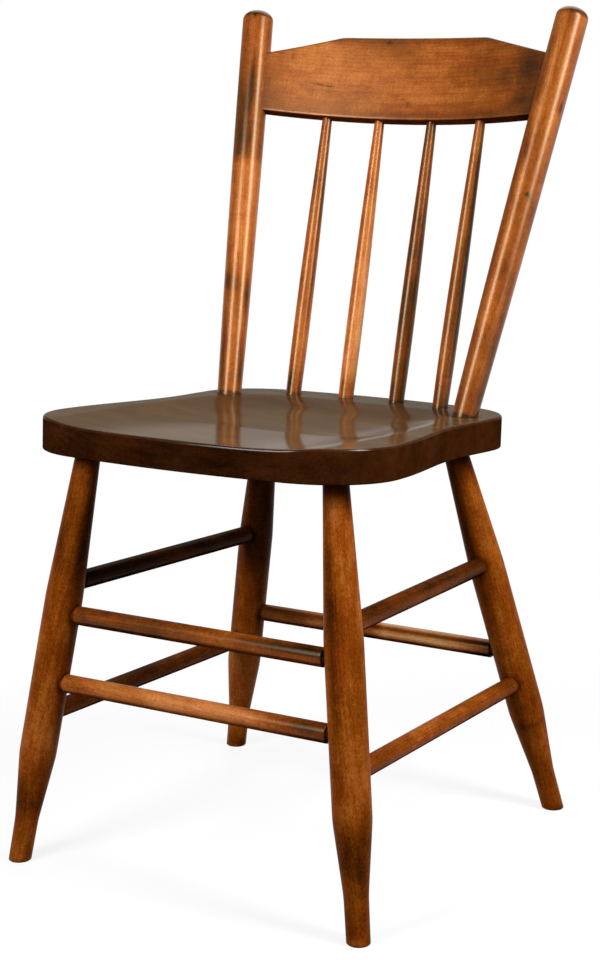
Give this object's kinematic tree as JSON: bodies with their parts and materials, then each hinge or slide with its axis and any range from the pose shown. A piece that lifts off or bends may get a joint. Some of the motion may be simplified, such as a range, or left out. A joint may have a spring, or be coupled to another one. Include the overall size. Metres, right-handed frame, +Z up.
{
  "type": "farmhouse chair",
  "caption": "Farmhouse chair with a saddled plank seat, splayed turned legs tied by stretchers, raked round posts, turned spindles and a bent crest rail.",
  "frame": {"origin": "on the floor, at the middle of the chair's bounding box seen from above", "axes": "+Z up; the chair faces -Y; +X points to the right of someone who stands in front of it and looks at it"},
  "size_m": [0.4572, 0.5272, 0.9],
  "materials": {
    "stained_frame": "medium brown stain under satin lacquer",
    "stained_seat": "dark brown stain under satin lacquer"
  },
  "bodies": {
    "root": {"seat": "stained_seat", "leg_front_left": "stained_frame", "leg_front_right": "stained_frame", "leg_rear_left": "stained_frame", "leg_rear_right": "stained_frame", "stretcher_front_upper": "stained_frame", "stretcher_front_lower": "stained_frame", "stretcher_left_upper": "stained_frame", "stretcher_left_lower": "stained_frame", "stretcher_right_upper": "stained_frame", "stretcher_right_lower": "stained_frame", "stretcher_rear": "stained_frame", "back_post_left": "stained_frame", "back_post_right": "stained_frame", "crest_rail": "stained_frame", "spindle_1": "stained_frame", "spindle_2": "stained_frame", "spindle_3": "stained_frame", "spindle_4": "stained_frame", "crest_peg_left": "stained_frame", "crest_peg_right": "stained_frame"}
  },
  "joints": []
}
